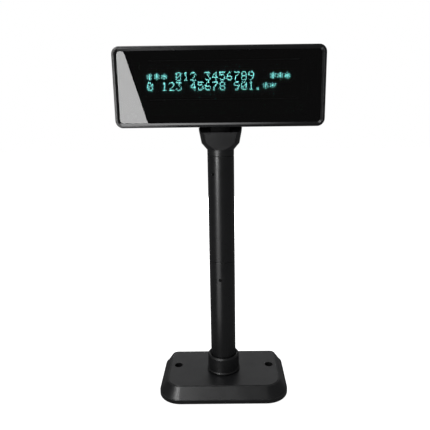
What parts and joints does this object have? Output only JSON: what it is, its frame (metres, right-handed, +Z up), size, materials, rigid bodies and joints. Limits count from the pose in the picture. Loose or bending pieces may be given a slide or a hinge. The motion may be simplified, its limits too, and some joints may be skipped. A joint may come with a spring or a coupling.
{
  "type": "customer pole display",
  "caption": "Two-line customer display head on a tilting, swivelling neck, held up by a two-piece tube on a low weighted base.",
  "frame": {"origin": "on the counter, at the centre of the base's outline and on the pole's axis", "axes": "+Z up along the pole, the display faces -Y, +X to the right as seen from the front"},
  "size_m": [0.2214, 0.098, 0.3956],
  "materials": {
    "feet_rubber": "matte",
    "bare_steel": "satin",
    "dark_steel": "satin, blackened",
    "pole_paint": "satin black",
    "shell_plastic": "fine satin texture",
    "smoked_lens": "polished, see-through smoke tint",
    "tube_glass": "clear",
    "anode_glass": "dark coated glass",
    "nylon": "black",
    "board_laminate": "solder-masked",
    "chip_resin": "matte",
    "capacitor_can": "sleeved",
    "copper_winding": "enamelled"
  },
  "bodies": {
    "base": {"base_foot_1": "feet_rubber", "base_foot_2": "feet_rubber", "base_foot_3": "feet_rubber", "base_foot_4": "feet_rubber", "base_plate": "bare_steel", "base_housing": "shell_plastic", "base_plate_screw_1": "bare_steel", "base_plate_screw_2": "bare_steel", "base_plate_screw_3": "bare_steel", "base_plate_screw_4": "bare_steel", "pole_socket_screw_1": "bare_steel", "pole_socket_screw_2": "bare_steel", "pole_socket_screw_3": "bare_steel", "pole_socket": "bare_steel", "base_collar": "shell_plastic", "lower_pole": "pole_paint", "upper_pole": "pole_paint", "pole_coupler": "dark_steel", "lock_screw_lower": "dark_steel", "lock_screw_upper": "dark_steel", "lock_screw_rear": "dark_steel"},
    "neck": {"neck_yoke": "shell_plastic", "swivel_washer": "nylon", "tilt_bolt": "dark_steel", "tilt_lock_washer": "bare_steel", "tilt_nut": "bare_steel", "bolt_cap_left": "shell_plastic", "bolt_cap_right": "shell_plastic"},
    "head": {"tilt_washer_left": "nylon", "tilt_washer_right": "nylon", "tilt_knuckle": "shell_plastic", "knuckle_screw_1": "bare_steel", "knuckle_screw_2": "bare_steel", "front_bezel": "shell_plastic", "display_lens": "smoked_lens", "vfd_front_glass": "tube_glass", "vfd_spacer": "anode_glass", "vfd_anode_glass": "anode_glass", "vfd_leads_top": "bare_steel", "vfd_leads_bottom": "bare_steel", "driver_board": "board_laminate", "controller_chip": "chip_resin", "driver_chip_left": "chip_resin", "driver_chip_right": "chip_resin", "capacitor_1": "capacitor_can", "capacitor_2": "capacitor_can", "supply_transformer": "copper_winding", "cable_header": "nylon", "board_screw_1": "bare_steel", "board_screw_2": "bare_steel", "board_screw_3": "bare_steel", "board_screw_4": "bare_steel", "rear_cover": "shell_plastic", "hinge_hood": "shell_plastic", "case_screw_1": "dark_steel", "case_screw_2": "dark_steel", "case_screw_3": "dark_steel", "case_screw_4": "dark_steel"}
  },
  "joints": [
    {"name": "neck_swivel", "type": "hinge", "parent": "base", "child": "neck", "pos_m": [0, 0, 0.2812], "axis": [0, 0, 1], "range_deg": [-155, 155]},
    {"name": "head_tilt", "type": "hinge", "parent": "neck", "child": "head", "pos_m": [0, 0, 0.2994], "axis": [1, 0, 0], "range_deg": [-30, 15]}
  ]
}
